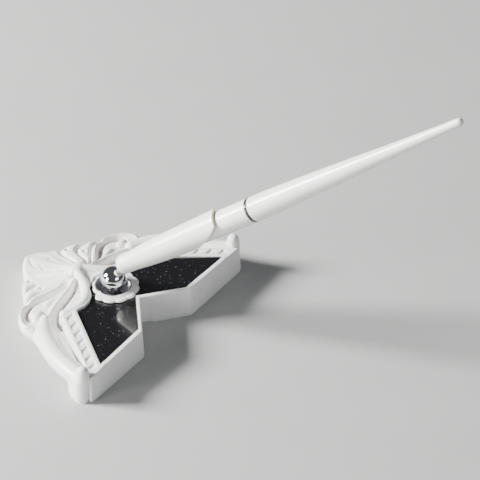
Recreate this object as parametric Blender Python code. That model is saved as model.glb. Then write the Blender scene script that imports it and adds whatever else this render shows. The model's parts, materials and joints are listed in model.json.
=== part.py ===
"""Desk pen set: an ornamented base with a glitter inlay, a ball swivel, a funnel holder and a tapered pen.

All dimensions are in millimetres and are scaled to metres when a mesh is made. +Z is up and the front of
the base is -Y. The origin is the foot of the swivel axis on the table. The left half mirrors the right half.
"""

import math

import bpy
import numpy as np
from mathutils import Matrix, Vector
from mathutils.geometry import delaunay_2d_cdt

MM = 0.001
GAP = 0.3

# Levels of the base
PLATE_EDGE = 0.9
SEAM = PLATE_EDGE + GAP
STEP_TOP = 2.2
BOSS_FOOT = STEP_TOP + GAP
DECK_FLOOR = 10.9
DECK_UNDER = 8.9
PANEL_TOP = 12.4
RIM_TOP = 13.6
RIM_FALL = 1.3
DRAFT = 0.6
KNOT = (0.0, 18.0)

# Swivel
BALL_Z = 17.2
BALL_R = 5.2
SLOT_HALF = 1.1
TONGUE_HALF = 0.8
TONGUE_WIDE = 1.5
STEM_R = 1.5
PIN_R = 0.8
ROSETTE_R = 10.7
CUP_R = 7.1
TILT_DOWN = 20.0
TILT_UP = 30.0

# Funnel and pen, measured along their common axis from the point abreast of the ball
PEN_ELEVATION = math.radians(36.0)
PEN_TURN = math.radians(20.5)
AXIS_RISE = 4.0
FUNNEL_FOOT = 6.1
FUNNEL_LIP = 59.2
LIP_TURN = math.radians(25.0)
LIP_SLANT = 12.0
LIP_START = 0.766
LIP_DROP = 16.0
RING_AT = 74.7
RING_HALF = 0.35
PEN_END = 177.8

# Right half of the outline, from the notch round to the back, as arcs that meet in sharp corners
FRONT_EDGE = [(0.0, -13.5), (16.5, -26.7), (50.6, -26.5)]
POST = [
    (50.9, -25.4), (52.1, -25.5), (53.3, -24.7), (54.1, -23.2), (54.2, -21.4), (53.3, -19.0),
    (52.2, -16.6),
]
ROLL_SIDE = [
    (52.2, -16.6), (51.4, -12.8), (49.9, -8.0), (48.2, -3.6), (45.9, 0.8), (42.9, 5.6), (40.6, 8.8),
    (38.0, 12.2),
]
SCROLL_SIDE = [
    (38.0, 12.2), (37.9, 15.0), (37.4, 17.8), (35.8, 20.6), (32.8, 23.4), (29.4, 25.0), (26.6, 25.6),
    (24.7, 25.2),
]
LOBE_SIDE = [(24.7, 25.2), (24.2, 27.0), (22.9, 28.4), (20.9, 29.2), (19.3, 29.5)]
BAND_SIDE = [(19.3, 29.5), (18.7, 31.4), (17.0, 33.5), (14.6, 34.9), (12.3, 35.1), (11.1, 35.6)]
FAN_SIDE = [(11.1, 35.6), (10.0, 37.6), (7.4, 40.4), (3.8, 43.3), (0.0, 45.0)]

# Front plate, drawn past the front edge, with its inlay and ladder strips
FRONT_PLATE = [
    (0.0, -16.0), (16.5, -29.2), (52.6, -29.0), (48.5, -23.9), (44.0, -17.6), (37.3, -8.4), (31.8, -0.7),
    (26.6, 6.2), (21.0, 4.4), (15.0, 4.4), (10.0, 6.0), (5.0, 9.8), (0.0, 10.6),
]
PANEL = [
    (0.0, -10.9), (16.2, -24.3), (41.2, -24.3), (20.9, 2.7), (16.6, 1.7), (12.6, 2.2), (9.0, 3.9), (6.8, 6.8),
    (0.0, 9.6),
]
PANEL_SIDE = [(41.2, -24.3), (20.9, 2.7)]
RUNG_PITCH = 4.15
RUNG_START = -21.5
RUNG_LONG = 2.9
BOX_FACES = [(3, 2, 1, 0), (4, 5, 6, 7), (0, 1, 5, 4), (1, 2, 6, 5), (2, 3, 7, 6), (3, 0, 4, 7)]

# Ribbons, ridges and grooves of the bow
RIBBON = [(1.5, 17.2), (4.0, 12.8), (6.4, 9.2), (9.8, 6.1), (14.2, 4.2), (19.4, 4.2), (24.6, 6.4)]
BETWEEN = [(0.0, 8.0), (9.0, 5.0), (6.5, 9.0), (4.0, 13.0), (0.0, 15.0)]
RIDGE = [(5.0, 15.8), (10.3, 14.2), (15.3, 14.4), (19.6, 14.3), (23.6, 13.6), (28.0, 12.2)]
SECOND_RIDGE = [(7.0, 15.4), (12.3, 15.4), (17.0, 16.4), (21.5, 17.6)]
ROLL = [
    (29.0, 12.6), (34.0, 9.2), (38.6, 4.6), (42.4, -1.4), (45.4, -8.2), (47.4, -14.4), (49.2, -19.8),
    (51.2, -22.8),
]
KNOB = (51.4, -23.0)
SCROLL_GROOVE = [
    (5.0, 16.0), (9.4, 16.6), (13.1, 17.6), (17.0, 19.4), (20.8, 22.0), (24.6, 23.1), (28.2, 22.5),
    (30.6, 20.7), (31.2, 18.9),
]
SCROLL_RIM = [
    (11.0, 18.6), (16.0, 21.4), (20.6, 24.0), (25.0, 25.0), (29.6, 24.4), (33.6, 21.9), (35.9, 18.4),
    (36.0, 14.6),
]
SCROLL_BALL = (28.4, 16.8)
LOBE_GROOVE = [(2.2, 20.6), (5.2, 24.0), (7.3, 28.8), (9.3, 33.4), (11.1, 36.0)]
BAND_GROOVE = [(4.4, 16.9), (6.8, 18.8), (9.8, 22.4), (12.4, 27.2), (15.6, 30.0), (19.3, 30.0)]
SIDE_GROOVE = [(4.8, 17.0), (9.1, 18.2), (13.6, 21.4), (18.6, 24.8), (24.9, 25.6)]
FRONT_GROOVE = [(5.2, 14.6), (9.4, 12.8), (14.0, 12.2), (18.6, 12.0), (22.6, 11.0), (25.6, 8.6), (27.6, 5.4)]
CROSS_LIP = [(33.0, 7.4), (31.6, 4.8), (29.4, 2.8)]
SWIRL = [(0.5, 42.4), (2.0, 40.6), (3.8, 38.0), (4.2, 35.6), (2.7, 34.5), (3.8, 32.8)]
PITS = [(12.6, 33.0), (13.7, 29.2), (16.0, 28.2), (14.5, 25.4)]
KNOT_PIT = (4.2, 16.6)

# Hollows of the underside, with the bosses for the screws
FRONT_POCKET = [
    (0.0, -10.4), (17.4, -24.0), (44.0, -23.8), (41.5, -16.5), (31.0, -2.5), (25.0, 1.8), (14.0, 3.2),
    (6.6, 5.6), (0.0, 6.4),
]
BACK_POCKET = [
    (0.0, 10.8), (14.0, 11.1), (30.5, 13.5), (30.3, 17.5), (26.5, 20.5), (19.0, 23.5), (13.5, 29.0),
    (8.0, 31.5), (4.0, 36.5), (0.0, 38.5),
]
BACK_CEILING = 4.7
CROWN_CEILING = 8.6
BOSSES = [(37.0, -20.5), (19.0, 18.5)]
BOSS_R = 2.9
PITCH = 2.1
SCREW_HOLE_R = 1.25

COLOURS = {
    "white": ((0.86, 0.85, 0.82), 0.0, 0.35),
    "pearl": ((0.90, 0.89, 0.86), 0.0, 0.2),
    "black": ((0.012, 0.012, 0.014), 0.0, 0.08),
    "chrome": ((0.80, 0.80, 0.82), 1.0, 0.06),
    "steel": ((0.55, 0.55, 0.56), 1.0, 0.3),
    "brass": ((0.75, 0.57, 0.28), 1.0, 0.3),
}


# ---------------------------------------------------------------- plane geometry


def mirrored(half):
    """The whole closed outline from its right half, anticlockwise."""
    left = [(-x, y) for x, y in reversed(half) if x > 0.0]
    return half + left


def both_sides(points):
    return points + [(-x, y) for x, y in points]


def circle(x, y, radius, count):
    """A clockwise circle, which is the direction of a hole."""
    turns = [-2 * math.pi * i / count for i in range(count)]
    return [(x + radius * math.cos(t), y + radius * math.sin(t)) for t in turns]


def offset(polygon, by):
    """The anticlockwise polygon moved outward by this much, with mitred corners."""
    points = np.array(polygon)
    ahead = np.roll(points, -1, axis=0) - points
    ahead /= np.linalg.norm(ahead, axis=1)[:, None]
    normal = np.stack([ahead[:, 1], -ahead[:, 0]], axis=1)
    before = np.roll(normal, 1, axis=0)
    mitre = normal + before
    mitre /= np.maximum((mitre * normal).sum(axis=1), 0.55)[:, None]
    return [tuple(p) for p in points + mitre * by]


def refined(polygon, longest, closed=True):
    """The same line with no piece longer than this."""
    points = []
    ends = polygon[1:] + polygon[:1] if closed else polygon[1:]
    for (x0, y0), (x1, y1) in zip(polygon, ends):
        count = max(1, math.ceil(math.hypot(x1 - x0, y1 - y0) / longest))
        points += [(x0 + (x1 - x0) * i / count, y0 + (y1 - y0) * i / count) for i in range(count)]
    return points if closed else points + [polygon[-1]]


def softened(line, steps=6):
    """A Catmull-Rom curve through the points of an open line."""
    points = [line[0]] + list(line) + [line[-1]]
    curve = []
    for p0, p1, p2, p3 in zip(points, points[1:], points[2:], points[3:]):
        for i in range(steps):
            t = i / steps
            weights = (
                -0.5 * t + t * t - 0.5 * t**3,
                1 - 2.5 * t * t + 1.5 * t**3,
                0.5 * t + 2 * t * t - 1.5 * t**3,
                -0.5 * t * t + 0.5 * t**3,
            )
            near = (p0, p1, p2, p3)
            curve.append(tuple(sum(w * p[axis] for w, p in zip(weights, near)) for axis in (0, 1)))
    return curve + [tuple(line[-1])]


def line_distance(x, y, line):
    """The distance from each point to an open line, and how far along it the nearest place is, 0 to 1."""
    best = np.full(x.shape, 1e9)
    along = np.zeros(x.shape)
    lengths = [math.dist(a, b) for a, b in zip(line, line[1:])]
    total = sum(lengths)
    done = 0.0
    for (x0, y0), (x1, y1), length in zip(line, line[1:], lengths):
        t = ((x - x0) * (x1 - x0) + (y - y0) * (y1 - y0)) / length**2
        t = np.clip(t, 0.0, 1.0)
        d = np.hypot(x - x0 - t * (x1 - x0), y - y0 - t * (y1 - y0))
        nearer = d < best
        best = np.where(nearer, d, best)
        along = np.where(nearer, (done + t * length) / total, along)
        done += length
    return best, along


def depth_inside(x, y, polygon):
    """How far each point is inside a closed polygon, negative outside."""
    closed = list(polygon) + [polygon[0]]
    distance, _ = line_distance(x, y, closed)
    inside = np.zeros(x.shape, bool)
    for (x0, y0), (x1, y1) in zip(closed, closed[1:]):
        crosses = (y0 > y) != (y1 > y)
        run = y1 - y0 if y1 != y0 else 1e-9
        inside ^= crosses & (x < (x1 - x0) * (y - y0) / run + x0)
    return np.where(inside, distance, -distance)


# ---------------------------------------------------------------- the ornamented top


def half_outline():
    """The right half of the outline, with the post at the front corner rounded."""
    half = FRONT_EDGE + softened(POST, 2)
    for arc in (ROLL_SIDE, SCROLL_SIDE, LOBE_SIDE, BAND_SIDE, FAN_SIDE):
        half += arc[1:]
    return half


def step(value, low, high):
    t = np.clip((value - low) / (high - low), 0.0, 1.0)
    return t * t * (3 - 2 * t)


def near(x, y, line, width):
    """One on the line, falling off to nothing a few widths away."""
    return np.exp(-((line_distance(x, y, line)[0] / width) ** 2))


def groove(height, x, y, line, depth, narrow, wide):
    """A groove that starts fine at the knot and opens out along its line."""
    distance, along = line_distance(x, y, softened(line))
    width = narrow + (wide - narrow) * along
    return height - depth * np.exp(-((distance / width) ** 2)) * step(along, -0.08, 0.22)


def tube(x, y, line, radius, low, high, slim=1.0):
    """The upper side of a round bar along a line, its crest between these heights at the two ends.

    It starts at this share of its radius.
    """
    distance, along = line_distance(x, y, line)
    crest = low + (high - low) * along
    radius = radius * (slim + (1 - slim) * step(along, 0.0, 0.24))
    return crest - radius + np.sqrt(np.maximum(radius**2 - distance**2, 0.0)) - 20.0 * (distance > radius)


def dome(x, y, centre, long, short, base, rise):
    inside = 1 - ((x - centre[0]) / long) ** 2 - ((y - centre[1]) / short) ** 2
    return base + rise * np.sqrt(np.maximum(inside, 0.0)) - 20.0 * (inside <= 0)


def bow_height(x, y):
    """The bow and shell, which fall away from the knot in folds."""
    away = np.hypot(0.7 * x, y - KNOT[1])
    height = 6.0 + 9.4 * np.exp(-away / 14.5)
    spread = np.arctan2(x, y - KNOT[1])
    fan = step(0.56 - spread, 0.0, 0.12)
    height += 0.32 * fan * np.cos(spread * 26.0) * step(away, 3.0, 7.0) * np.exp(-away / 13.0)
    height += 0.45 * fan * np.cos(spread * 5.4)
    height += 1.0 * near(x, y, softened(SCROLL_RIM), 1.3) + 0.9 * near(x, y, softened(SECOND_RIDGE), 1.1)
    height += 1.1 * near(x, y, softened(RIDGE), 1.0)
    height += 0.6 * np.exp(-(np.hypot(x - 20.0, y - 26.6) / 2.6) ** 2)
    height = groove(height, x, y, LOBE_GROOVE, 1.5, 0.55, 0.8)
    height = groove(height, x, y, BAND_GROOVE, 1.4, 0.6, 0.9)
    height = groove(height, x, y, SIDE_GROOVE, 1.3, 0.6, 0.9)
    height = groove(height, x, y, SCROLL_GROOVE, 2.3, 0.7, 1.5)
    height = groove(height, x, y, FRONT_GROOVE, 2.1, 0.5, 1.8)
    height -= 0.45 * near(x, y, softened(SWIRL), 0.55)
    for pit in PITS:
        height -= 0.9 * np.exp(-(np.hypot(x - pit[0], y - pit[1]) / 0.75) ** 2)
    height = np.maximum(height, dome(x, y, SCROLL_BALL, 3.1, 2.0, 8.2, 1.9))
    height = np.maximum(height, dome(x, y, KNOT, 4.4, 3.0, 13.4, 2.3))
    return height - 1.6 * np.exp(-(np.hypot(x - KNOT_PIT[0], y - KNOT_PIT[1]) / 0.9) ** 2)


def plate_height(x, y):
    """The front plate: a rim, and a ladder strip along each side of the inlay."""
    height = RIM_TOP - RIM_FALL * np.clip((x - 18.0) / 30.0, 0.0, 1.0)
    across, _ = line_distance(x, y, PANEL_SIDE)
    strip = step(across, 2.1, 2.25) * step(-across, -5.15, -5.0)
    strip = strip * step(x - y, 18.6, 19.2) * step(y, -24.4, -24.2)
    return height - 0.12 * strip


def channel_height(x, y):
    """The hollow between the front plate and the roll, with a lip across it."""
    return 8.7 + 2.5 * step(-y, -3.0, 14.0) + 1.0 * near(x, y, CROSS_LIP, 0.7)


def top_height(x, y):
    """The height of the finished upper surface at each point."""
    x = np.abs(x)
    front = step(depth_inside(x, y, mirrored(FRONT_PLATE)), -0.2, 0.2)
    shoulder = step(x + 0.6 * (y - 8.0), 27.0, 32.0) * step(12.0 - y, 0.0, 5.0)
    rear = bow_height(x, y) * (1 - shoulder) + channel_height(x, y) * shoulder
    between = step(depth_inside(x, y, mirrored(BETWEEN)), -0.6, 0.6)
    rear = np.maximum(rear, 13.3 * between)
    height = front * plate_height(x, y) + (1 - front) * rear
    distance, along = line_distance(x, y, softened(ROLL))
    outside = (depth_inside(x, y, mirrored(half_outline())) < 5.5) & (distance > 3.0) & (along > 0.1)
    outer = outside & (x + 0.36 * y > 41.0) & (y > -18.0)
    height = np.where(outer & (front < 0.5), np.minimum(height, 8.0), height)
    height = np.maximum(height, tube(x, y, softened(RIBBON), 2.0, 15.4, 13.6))
    height = np.maximum(height, tube(x, y, softened(ROLL), 4.5, 11.2, 12.6, 0.5))
    height = np.maximum(height, dome(x, y, KNOB, 2.5, 2.5, 14.35, 2.5))
    edge = depth_inside(x, y, mirrored(half_outline()))
    at_front, _ = line_distance(x, y, FRONT_EDGE)
    radius = np.where(at_front < 1.2, 0.6, np.where((y < 9.0) & (y > -18.0), 0.4, 1.6))
    short = np.clip(radius - edge, 0.0, radius)
    return height - radius + np.sqrt(np.maximum(radius**2 - short**2, 0.0))


def feature_points(outline):
    """Points along the crests, grooves and sharp steps of the surface."""
    points = refined(offset(outline, -0.4), 3.2)
    for line, pitch in ((RIBBON, 2.2), (ROLL, 2.4), (RIDGE, 2.4), (SCROLL_GROOVE, 2.4), (FRONT_GROOVE, 2.4)):
        points += both_sides(refined(softened(line), pitch, closed=False)[::3])
    for by in (-0.3, 0.3):
        edge = [(x + by, y + 0.7 * by) for x, y in FRONT_PLATE[3:8]]
        points += both_sides(refined(edge, 2.4, closed=False))
    ring = [(KNOB[0] + 2.6 * math.cos(t), KNOB[1] + 2.6 * math.sin(t)) for t in np.arange(0, 6.2, 0.785)]
    return points + both_sides(ring + [KNOB])


def sample_points(outline):
    """Where the upper surface is sampled: close on the ornament, sparse under the inlay."""
    points = []
    for row, y in enumerate(np.arange(-27.0, 46.0, PITCH * 0.866)):
        points += [(x, y) for x in np.arange(-55.0, 55.0, PITCH) + (row % 2) * PITCH / 2]
    x, y = np.array(points).T
    bare = depth_inside(np.abs(x), y, mirrored(PANEL)) > 1.2
    sparse = np.hypot(x % 9 - 4.5, y % 9 - 4.5) < 1.1
    keep = (depth_inside(x, y, outline) > 1.0) & (~bare | sparse)
    kept = [(float(a), float(b)) for a, b in zip(x[keep], y[keep])]
    chosen = []
    for spot in feature_points(outline) + kept:
        inside = depth_inside(np.array([spot[0]]), np.array([spot[1]]), outline)[0] > 0.3
        if inside and all(math.dist(spot, other) > 0.55 * PITCH for other in chosen):
            chosen.append(spot)
    return chosen


# ---------------------------------------------------------------- building meshes


def coloured(obj, kind):
    """Gives the object a material of its own."""
    colour, metallic, roughness = COLOURS[kind]
    own = bpy.data.materials.new(f"{obj.name}_{kind}")
    own.use_nodes = True
    own.diffuse_color = (*colour, 1.0)
    shader = own.node_tree.nodes["Principled BSDF"]
    shader.inputs["Base Color"].default_value = (*colour, 1.0)
    shader.inputs["Metallic"].default_value = metallic
    shader.inputs["Roughness"].default_value = roughness
    obj.data.materials.append(own)
    return obj


def mesh_object(name, points, faces, kind=None, smooth=None):
    mesh = bpy.data.meshes.new(name)
    mesh.from_pydata([tuple(c * MM for c in p) for p in points], [], faces)
    mesh.validate()
    if smooth is not None:
        mesh.shade_smooth()
        mesh.set_sharp_from_angle(angle=math.radians(smooth))
    obj = bpy.data.objects.new(name, mesh)
    bpy.context.scene.collection.objects.link(obj)
    if kind is None:
        obj.hide_render = True
        obj.display_type = "WIRE"
        return obj
    return coloured(obj, kind)


def lathe(name, profile, count, kind=None, smooth=35, squeeze=None):
    """A solid turned about Z from a closed (radius, z) profile that runs anticlockwise in the r, z plane."""
    points, rings = [], []
    for radius, z in profile:
        if radius < 1e-6:
            rings.append([len(points)] * count)
            points.append((0.0, 0.0, z))
            continue
        rings.append(list(range(len(points), len(points) + count)))
        for i in range(count):
            turn = 2 * math.pi * i / count
            r, lift = (radius, z) if squeeze is None else squeeze(radius, z, turn)
            points.append((r * math.cos(turn), r * math.sin(turn), lift))
    faces = []
    for low, high in zip(rings, rings[1:] + rings[:1]):
        for i in range(count):
            j = (i + 1) % count
            corners = (low[i], low[j], high[j], high[i])
            kept = [c for n, c in enumerate(corners) if c != corners[n - 1]]
            if len(set(kept)) >= 3:
                faces.append(kept)
    return mesh_object(name, points, faces, kind, smooth)


def triangles_between(loops):
    """Triangles that fill the first loop and leave the others open, as indices into the joined loops."""
    flat = [Vector(p) for loop in loops for p in loop]
    edges = []
    for loop in loops:
        start = len(edges)
        edges += [(start + i, start + (i + 1) % len(loop)) for i in range(len(loop))]
    verts, _, triangles, source, _, _ = delaunay_2d_cdt(flat, edges, [], 1, 1e-5)
    middles = np.array([sum((verts[i] for i in t), Vector((0, 0))) / 3 for t in triangles])
    keep = depth_inside(*middles.T, loops[0]) > 0
    for hole in loops[1:]:
        keep &= depth_inside(*middles.T, hole) < 0
    return [tuple(source[i][0] for i in t) for t, kept in zip(triangles, keep) if kept]


def prism(name, outer, holes, low, high, kind=None, smooth=None):
    """A flat piece with this outline and these clockwise holes."""
    loops = [list(outer)] + [list(hole) for hole in holes]
    flat = [p for loop in loops for p in loop]
    count = len(flat)
    points = [(*p, low) for p in flat] + [(*p, high) for p in flat]
    faces = []
    for a, b, c in triangles_between(loops):
        faces.append((a + count, b + count, c + count))
        faces.append((c, b, a))
    start = 0
    for loop in loops:
        for i in range(len(loop)):
            here, ahead = start + i, start + (i + 1) % len(loop)
            faces.append((here, ahead, ahead + count, here + count))
        start += len(loop)
    return mesh_object(name, points, faces, kind, smooth)


def boolean(obj, cutter, operation="DIFFERENCE"):
    modifier = obj.modifiers.new(cutter.name, "BOOLEAN")
    modifier.operation = operation
    modifier.solver = "EXACT"
    modifier.object = cutter


def placed(obj, spot, axes=None):
    """Puts the object at a point in millimetres, with its local X, Y and Z along these axes."""
    obj.location = Vector(spot) * MM
    if axes is not None:
        obj.rotation_euler = Matrix(axes).transposed().to_euler()
    return obj


# ---------------------------------------------------------------- the base


def tucked(x, y):
    """Where the side wall starts to curve under, how far it comes in, how tall the curve is, and how much
    deeper the foot stands below it."""
    x = np.abs(x)
    at_front, _ = line_distance(x, y, FRONT_EDGE)
    front = 1 - step(at_front, 0.5, 1.2)
    behind = step(y, -16.4, -15.4)
    side = behind * step(x, 25.5, 31.0)
    roll = side * (1 - step(y, 6.0, 11.0))
    tuck = (2.2 + 2.1 * side) * behind - DRAFT * front
    return 4.0 + 3.0 * side + roll, tuck, 4.0 + 0.5 * side, 2.9 * roll


def moved_in(loop, inset):
    """The loop moved inward by its own distance at each point."""
    points = np.array(loop)
    normal = np.array(offset(loop, 1.0)) - points
    normal /= np.linalg.norm(normal, axis=1)[:, None]
    return points - normal * inset[:, None]


def wall_ring(loop, tops, share):
    """The wall this share of the way down from its widest level to the seam."""
    wide, tuck, span, deep = tucked(*np.array(loop).T)
    start = np.minimum(wide, tops - 0.5)
    height = start + (SEAM - start) * share
    under = np.clip((wide - height) / span, 0.0, 1.0)
    curve = np.where(tuck > 0, 1 - np.sqrt(1 - under**2), (tops - height) / (tops - SEAM))
    ring = moved_in(loop, tuck * curve + deep * step(under, 0.86, 1.0))
    return [(x, y, z) for (x, y), z in zip(ring.tolist(), height.tolist())]


def top_sheet():
    """Points and triangles of the upper surface, with the indices of its edge in order."""
    outline = refined(mirrored(half_outline()), 3.4)
    flat = [Vector(p) for p in outline + sample_points(outline)]
    count = len(outline)
    ring = [(i, (i + 1) % count) for i in range(count)]
    verts, _, triangles, source, _, _ = delaunay_2d_cdt(flat, ring, [], 1, 1e-4)
    x, y = np.array([tuple(v) for v in verts]).T
    points = list(zip(x.tolist(), y.tolist(), top_height(x, y).tolist()))
    place = {origin: new for new, origins in enumerate(source) for origin in origins}
    return points, [tuple(t) for t in triangles], [place[i] for i in range(count)]


def foot_outline(sheet):
    """The outline where the wall meets the seam."""
    points, _, edge = sheet
    loop = [points[i][:2] for i in edge]
    tops = np.array([points[i][2] for i in edge])
    return [p[:2] for p in wall_ring(loop, tops, 1.0)]


def base_shell(sheet):
    points, faces, edge = list(sheet[0]), list(sheet[1]), sheet[2]
    loop = [points[i][:2] for i in edge]
    tops = np.array([points[i][2] for i in edge])
    above = edge
    for share in (0.0, 0.55, 1.0):
        below = list(range(len(points), len(points) + len(edge)))
        points += wall_ring(loop, tops, share)
        for i in range(len(edge)):
            j = (i + 1) % len(edge)
            faces.append((above[i], below[i], below[j], above[j]))
        above = below
    foot = [points[i][:2] for i in above]
    faces += [(above[c], above[b], above[a]) for a, b, c in triangles_between([foot])]
    shell = mesh_object("base_shell", points, faces, "white", smooth=38)
    for cutter in shell_cutters():
        boolean(shell, cutter)
    return shell


def boss_islands(spots):
    return [circle(x, y, BOSS_R, 16) for x, y in both_sides(spots)]


def shell_cutters():
    """The recess for the inlay, the hole for the stem, the hollow underside and the screw holes."""
    front, back = mirrored(FRONT_POCKET), mirrored(BACK_POCKET)
    yield prism("cut_recess", offset(mirrored(PANEL), GAP), [], DECK_FLOOR, 25.0)
    yield placed(lathe("cut_stem", rod(0.0, 20.0, STEM_R + GAP), 24), (0, 0, 1))
    yield prism("cut_front_low", front, [], -1.0, BOSS_FOOT)
    yield prism("cut_front", front, boss_islands(BOSSES[:1]), -2.0, DECK_UNDER)
    yield prism("cut_back_low", back, [], -1.0, BOSS_FOOT)
    yield prism("cut_back", back, boss_islands(BOSSES[1:]), -2.0, BACK_CEILING)
    yield placed(lathe("cut_crown", rod(-3.0, CROWN_CEILING, 8.4), 28), (0, 21.0, 0))
    yield ladder_cutter()
    for number, (x, y) in enumerate(both_sides(BOSSES)):
        depth = 7.6 if y < 0 else 6.4
        yield placed(lathe(f"cut_hole_{number}", rod(-2.0, depth, SCREW_HOLE_R), 16), (x, y, 0))


def ladder_cutter():
    """The small pockets between the rungs of both ladder strips."""
    (x0, y0), (x1, y1) = PANEL_SIDE
    points, faces = [], []
    for rung in range(6):
        y = RUNG_START + rung * RUNG_PITCH
        x = x0 + (x1 - x0) * (y - y0) / (y1 - y0)
        lean = (x1 - x0) / (y1 - y0) * RUNG_LONG
        left, right = x + 2.8, x + 6.0
        outline = [(left - lean, y - RUNG_LONG), (right - lean, y - RUNG_LONG), (right, y), (left, y)]
        floor = RIM_TOP - RIM_FALL * min(1.0, (x + 4.0 - 18.0) / 30.0) - 0.75
        for side in (1, -1):
            start = len(points)
            corners = outline if side == 1 else [(-px, py) for px, py in reversed(outline)]
            points += [(*p, floor) for p in corners] + [(*p, 20.0) for p in corners]
            faces += [tuple(start + i for i in face) for face in BOX_FACES]
    return mesh_object("cut_ladder", points, faces)


def rod(low, high, radius):
    return [(0.0, low), (radius, low), (radius, high), (0.0, high)]


def bottom_plate(sheet):
    plate = prism("bottom_plate", offset(foot_outline(sheet), -0.25), [], 0.0, PLATE_EDGE, "white")
    for name, pocket in (("front", FRONT_POCKET), ("back", BACK_POCKET)):
        boolean(plate, prism(f"step_{name}", offset(mirrored(pocket), -0.5), [], 0.4, STEP_TOP), "UNION")
    for number, (x, y) in enumerate(both_sides(BOSSES)):
        profile = [(0.0, -1.0), (2.6, -1.0), (2.6, 0.35), (1.3, 1.65), (1.3, 4.0), (0.0, 4.0)]
        boolean(plate, placed(lathe(f"cut_plate_{number}", profile, 18), (x, y, 0)))
    return plate


def plate_screws():
    for number, (x, y) in enumerate(both_sides(BOSSES)):
        tip = 7.0 if y < 0 else 5.9
        head = [(0.0, 0.15), (2.3, 0.15), (2.3, 0.45), (0.95, 1.75)]
        profile = head + [(0.95, tip - 0.8), (0.3, tip), (0.0, tip)]
        placed(lathe(f"plate_screw_{number + 1}", profile, 14, "steel"), (x, y, 0))


def glitter_panel():
    hole = circle(0, 0, CUP_R + GAP, 36)
    prism("glitter_panel", mirrored(PANEL), [hole], DECK_FLOOR + GAP, PANEL_TOP, "black")


def scalloped(radius, z, turn):
    """Twelve petals, deeper toward the rim, and tucked in where the ribbons pass behind."""
    share = max(0.0, (radius - 7.9) / (ROSETTE_R - 7.9))
    wave = abs(math.cos(6 * turn + 0.4)) ** 0.5
    behind = min(1.0, max(0.0, (math.sin(turn) - 0.1) / 0.22))
    return radius - share * (0.95 * (1 - wave) + 2.0 * behind), z


def rosette():
    low = PANEL_TOP + GAP
    profile = [
        (CUP_R + GAP, low), (10.2, low), (ROSETTE_R, low + 0.35), (10.4, low + 0.9), (9.4, low + 1.1),
        (8.5, low + 1.15), (7.9, low + 1.4), (CUP_R + GAP, low + 1.35),
    ]
    lathe("rosette", profile, 60, "white", squeeze=scalloped)


# ---------------------------------------------------------------- the swivel


def swivel_cup():
    foot = DECK_FLOOR + GAP
    profile = [
        (STEM_R + GAP, foot), (6.7, foot), (CUP_R, foot + 0.4), (CUP_R, 13.8), (6.95, 14.0), (6.75, 13.95),
        (6.35, 13.4), (5.6, 12.7), (4.6, 12.25), (3.4, 11.95), (STEM_R + GAP, 11.8),
    ]
    lathe("swivel_cup", profile, 36, "chrome", smooth=50)


def pen_axes():
    """Up from the pen in its upright plane, across it, and along it toward the tip."""
    along = (
        math.cos(PEN_ELEVATION) * math.sin(PEN_TURN),
        -math.cos(PEN_ELEVATION) * math.cos(PEN_TURN),
        math.sin(PEN_ELEVATION),
    )
    rise = (
        -math.sin(PEN_ELEVATION) * math.sin(PEN_TURN),
        math.sin(PEN_ELEVATION) * math.cos(PEN_TURN),
        math.cos(PEN_ELEVATION),
    )
    across = tuple(Vector(along).cross(Vector(rise)))
    return rise, across, along


def stud_axes():
    """The same for the short screw that joins ball and funnel, which stands steeper than the pen."""
    rise, across, along = pen_axes()
    lean = math.atan2(AXIS_RISE - 1.05, FUNNEL_FOOT + 3.0)
    axis = Vector(along) * math.cos(lean) + Vector(rise) * math.sin(lean)
    side = Vector(rise) * math.cos(lean) - Vector(along) * math.sin(lean)
    return tuple(side), across, tuple(axis)


def upright_axes():
    """Local X along the pen's heading, Y across it and Z up."""
    across = Vector(pen_axes()[1])
    return tuple(across.cross(Vector((0, 0, 1)))), tuple(across), (0, 0, 1)


def arc(radius, first, last, count):
    turns = [math.radians(first + (last - first) * i / count) for i in range(count + 1)]
    return [(radius * math.cos(t), radius * math.sin(t)) for t in turns]


def ball_slot():
    """The slot that lets the ball tilt over the tongue: a round room with a fan below it."""
    side = TONGUE_WIDE + GAP
    wide, tight = (math.degrees(math.asin(side / radius)) for radius in (6.5, 2.5))
    low, high = -90 - TILT_DOWN, -90 + TILT_UP
    fan = arc(6.5, low - wide, high + wide, 10)
    room = arc(2.5, high + tight, low - tight + 360, 14)
    slot = prism("cut_slot", fan + room, [], -SLOT_HALF, SLOT_HALF)
    heading, across, up = upright_axes()
    return placed(slot, (0, 0, BALL_Z), (heading, up, tuple(-Vector(across))))


def ball():
    count = 14
    profile = arc(BALL_R, -90, 90, count)
    profile[0], profile[-1] = (0.0, -BALL_R), (0.0, BALL_R)
    sphere = placed(lathe("ball", profile, 28, "chrome", smooth=40), (0, 0, BALL_Z))
    boolean(sphere, ball_slot())
    heading, across, up = upright_axes()
    hole = lathe("cut_pin", rod(-6.0, 4.0, PIN_R + GAP), 16)
    boolean(sphere, placed(hole, (0, 0, BALL_Z), (up, heading, across)))
    stud_hole = lathe("cut_stud", rod(3.0, 7.0, 1.3), 16)
    boolean(sphere, placed(stud_hole, (0, 0, BALL_Z), stud_axes()))


def tilt_pin():
    heading, across, up = upright_axes()
    profile = [(0.0, -4.5), (PIN_R - 0.2, -4.5), (PIN_R, -4.3), (PIN_R, 3.5), (PIN_R - 0.2, 3.7), (0.0, 3.7)]
    placed(lathe("tilt_pin", profile, 16, "steel"), (0, 0, BALL_Z), (up, heading, across))


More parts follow.
